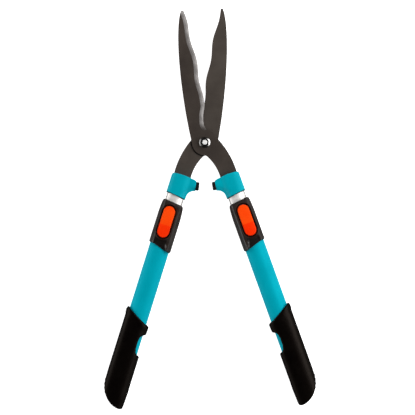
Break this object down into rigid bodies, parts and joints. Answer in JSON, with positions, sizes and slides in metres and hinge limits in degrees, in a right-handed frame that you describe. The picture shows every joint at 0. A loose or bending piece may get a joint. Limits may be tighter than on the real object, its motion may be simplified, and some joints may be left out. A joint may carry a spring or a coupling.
{
  "type": "hedge shears",
  "caption": "Hand shears with wavy blades on a bolted pivot and handles whose tubes pull out and lock with a rocker button.",
  "frame": {"origin": "centre of the box of the shears lying open on their back, at the surface they lie on", "axes": "+Y towards the blade tips, +Z away from the surface and along the pivot, +X towards the handle that is joined to the front blade"},
  "size_m": [0.3598, 0.6766, 0.031],
  "materials": {
    "coated_steel": "satin",
    "plated_steel": "polished",
    "blackened_steel": "satin",
    "spring_steel": "satin",
    "bronze": "satin",
    "teal_plastic": "satin",
    "teal_tube": "gloss",
    "anodised_aluminium": "satin",
    "sleeve_plastic": "satin",
    "orange_plastic": "satin",
    "grip_rubber": "matte",
    "bumper_rubber": "matte",
    "black_nylon": "satin",
    "white_nylon": "satin"
  },
  "bodies": {
    "rear_half": {"blade_rear": "coated_steel", "bearing_washer": "bronze", "pivot_bolt": "plated_steel", "pivot_washer": "plated_steel", "pivot_nut": "blackened_steel", "collar_left": "teal_plastic", "bumper_left": "bumper_rubber", "tang_rivet_left": "plated_steel", "inner_tube_left": "anodised_aluminium", "slide_plug_left": "black_nylon"},
    "front_half": {"blade_front": "coated_steel", "collar_right": "teal_plastic", "bumper_right": "bumper_rubber", "tang_rivet_right": "plated_steel", "inner_tube_right": "anodised_aluminium", "slide_plug_right": "black_nylon"},
    "left_handle": {"outer_tube_left": "teal_tube", "guide_bush_left": "white_nylon", "lock_sleeve_left": "sleeve_plastic", "sleeve_screw_left": "plated_steel", "stop_rivet_left": "plated_steel", "end_plug_left": "black_nylon", "grip_left": "grip_rubber", "button_axle_left": "plated_steel", "button_spring_left": "spring_steel"},
    "right_handle": {"outer_tube_right": "teal_tube", "guide_bush_right": "white_nylon", "lock_sleeve_right": "sleeve_plastic", "sleeve_screw_right": "plated_steel", "stop_rivet_right": "plated_steel", "end_plug_right": "black_nylon", "grip_right": "grip_rubber", "button_axle_right": "plated_steel", "button_spring_right": "spring_steel"},
    "left_button": {"lock_button_left": "orange_plastic", "brake_pad_left": "bumper_rubber"},
    "right_button": {"lock_button_right": "orange_plastic", "brake_pad_right": "bumper_rubber"}
  },
  "joints": [
    {"name": "blade_pivot", "type": "hinge", "parent": "rear_half", "child": "front_half", "pos_m": [0, 0.11127, 0.014], "axis": [0, 0, 1], "range_deg": [-17, 35]},
    {"name": "left_extend", "type": "slide", "parent": "rear_half", "child": "left_handle", "axis": [-0.319, -0.9478, 0], "range_m": [0, 0.2]},
    {"name": "right_extend", "type": "slide", "parent": "front_half", "child": "right_handle", "axis": [0.319, -0.9478, 0], "range_m": [0, 0.2]},
    {"name": "left_press", "type": "hinge", "parent": "left_handle", "child": "left_button", "pos_m": [-0.06689, -0.01785, 0.0255], "axis": [0.9478, -0.319, 0], "range_deg": [0, 3], "stiffness_Nm_per_rad": 3, "springref_deg": -2.86, "deforming": ["button_spring_left"]},
    {"name": "right_press", "type": "hinge", "parent": "right_handle", "child": "right_button", "pos_m": [0.06689, -0.01785, 0.0255], "axis": [0.9478, 0.319, 0], "range_deg": [0, 3], "stiffness_Nm_per_rad": 3, "springref_deg": -2.86, "deforming": ["button_spring_right"]}
  ]
}
